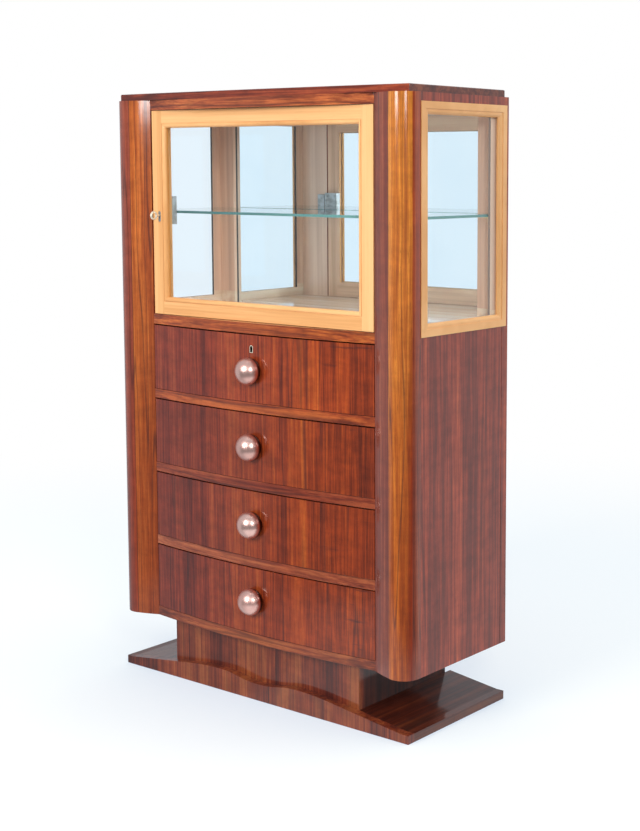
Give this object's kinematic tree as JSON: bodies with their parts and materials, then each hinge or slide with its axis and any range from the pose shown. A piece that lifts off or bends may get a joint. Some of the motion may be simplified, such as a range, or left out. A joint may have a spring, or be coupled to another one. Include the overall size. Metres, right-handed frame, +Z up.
{
  "type": "display cabinet",
  "caption": "Bow-fronted display cabinet with round front columns, a glazed door and side windows over drawers with ball knobs, on a flared plinth base.",
  "frame": {"origin": "on the floor, under the middle of the cabinet's whole outline, knobs included", "axes": "+X to the cabinet's right as one faces it, +Y to its back, +Z up; the front faces -Y"},
  "size_m": [0.902, 0.404, 1.4],
  "materials": {
    "veneer": "satin lacquered reddish veneer",
    "pale_frame": "satin lacquered honey maple",
    "lining": "matt pale veneer",
    "inner_wood": "plain sanded wood",
    "glass": "clear float glass",
    "mirror": "silvered glass",
    "brass": "polished",
    "knob_metal": "satin copper tone",
    "steel": "satin"
  },
  "bodies": {
    "cabinet": {"base_board": "veneer", "plinth_back": "veneer", "base_fascia": "veneer", "base_wing_left": "veneer", "base_wing_right": "veneer", "plinth_front": "veneer", "plinth_sides": "veneer", "side_left": "veneer", "side_right": "veneer", "rear_post_left": "veneer", "rear_post_right": "veneer", "pilaster_left": "veneer", "pilaster_right": "veneer", "case_top": "veneer", "top_slab": "veneer", "header_rail": "veneer", "sill_rail": "veneer", "drawer_rail_1": "veneer", "drawer_rail_2": "veneer", "drawer_rail_3": "veneer", "bottom_rail": "veneer", "case_bottom": "inner_wood", "back_panel": "inner_wood", "drawer_runners": "inner_wood", "vitrine_floor": "lining", "window_linings": "lining", "side_frame_left": "pale_frame", "side_frame_right": "pale_frame", "side_glass_left": "glass", "side_glass_right": "glass", "mirror": "mirror", "shelf_glass": "glass", "shelf_studs": "brass", "hinge_case_plates": "brass"},
    "door": {"door_stile_left": "pale_frame", "door_stile_right": "pale_frame", "door_rail_top": "pale_frame", "door_rail_bottom": "pale_frame", "door_moulding": "pale_frame", "door_glass": "glass", "door_glass_bead": "pale_frame", "hinge_door_plates": "brass", "door_lock_case": "steel"},
    "door_key": {"door_key": "brass"},
    "door_lock_bolt": {"door_lock_bolt": "brass"},
    "drawer_1": {"drawer_front_1": "veneer", "drawer_box_1": "inner_wood", "drawer_knob_1": "knob_metal", "drawer_lock": "steel", "drawer_escutcheon": "brass"},
    "drawer_2": {"drawer_front_2": "veneer", "drawer_box_2": "inner_wood", "drawer_knob_2": "knob_metal"},
    "drawer_3": {"drawer_front_3": "veneer", "drawer_box_3": "inner_wood", "drawer_knob_3": "knob_metal"},
    "drawer_4": {"drawer_front_4": "veneer", "drawer_box_4": "inner_wood", "drawer_knob_4": "knob_metal"},
    "drawer_lock_bolt": {"drawer_lock_bolt": "brass"}
  },
  "joints": [
    {"name": "door_hinge", "type": "hinge", "parent": "cabinet", "child": "door", "pos_m": [0.332, -0.133, 1.12], "axis": [0, 0, 1], "range_deg": [0, 105]},
    {"name": "door_key_turn", "type": "hinge", "parent": "door", "child": "door_key", "pos_m": [-0.318, -0.14, 1.114], "axis": [0, -1, 0], "range_deg": [0, 180]},
    {"name": "door_bolt_slide", "type": "slide", "parent": "door", "child": "door_lock_bolt", "axis": [-1, 0, 0], "range_m": [0, 0.007]},
    {"name": "drawer_1_slide", "type": "slide", "parent": "cabinet", "child": "drawer_1", "axis": [0, -1, 0], "range_m": [0, 0.25]},
    {"name": "drawer_2_slide", "type": "slide", "parent": "cabinet", "child": "drawer_2", "axis": [0, -1, 0], "range_m": [0, 0.25]},
    {"name": "drawer_3_slide", "type": "slide", "parent": "cabinet", "child": "drawer_3", "axis": [0, -1, 0], "range_m": [0, 0.25]},
    {"name": "drawer_4_slide", "type": "slide", "parent": "cabinet", "child": "drawer_4", "axis": [0, -1, 0], "range_m": [0, 0.25]},
    {"name": "drawer_bolt_lift", "type": "slide", "parent": "drawer_1", "child": "drawer_lock_bolt", "axis": [0, 0, 1], "range_m": [0, 0.007]}
  ],
  "couplings": [
    {"joint": "door_key_turn", "follows": "door_bolt_slide", "rad_per_m": 446}
  ]
}
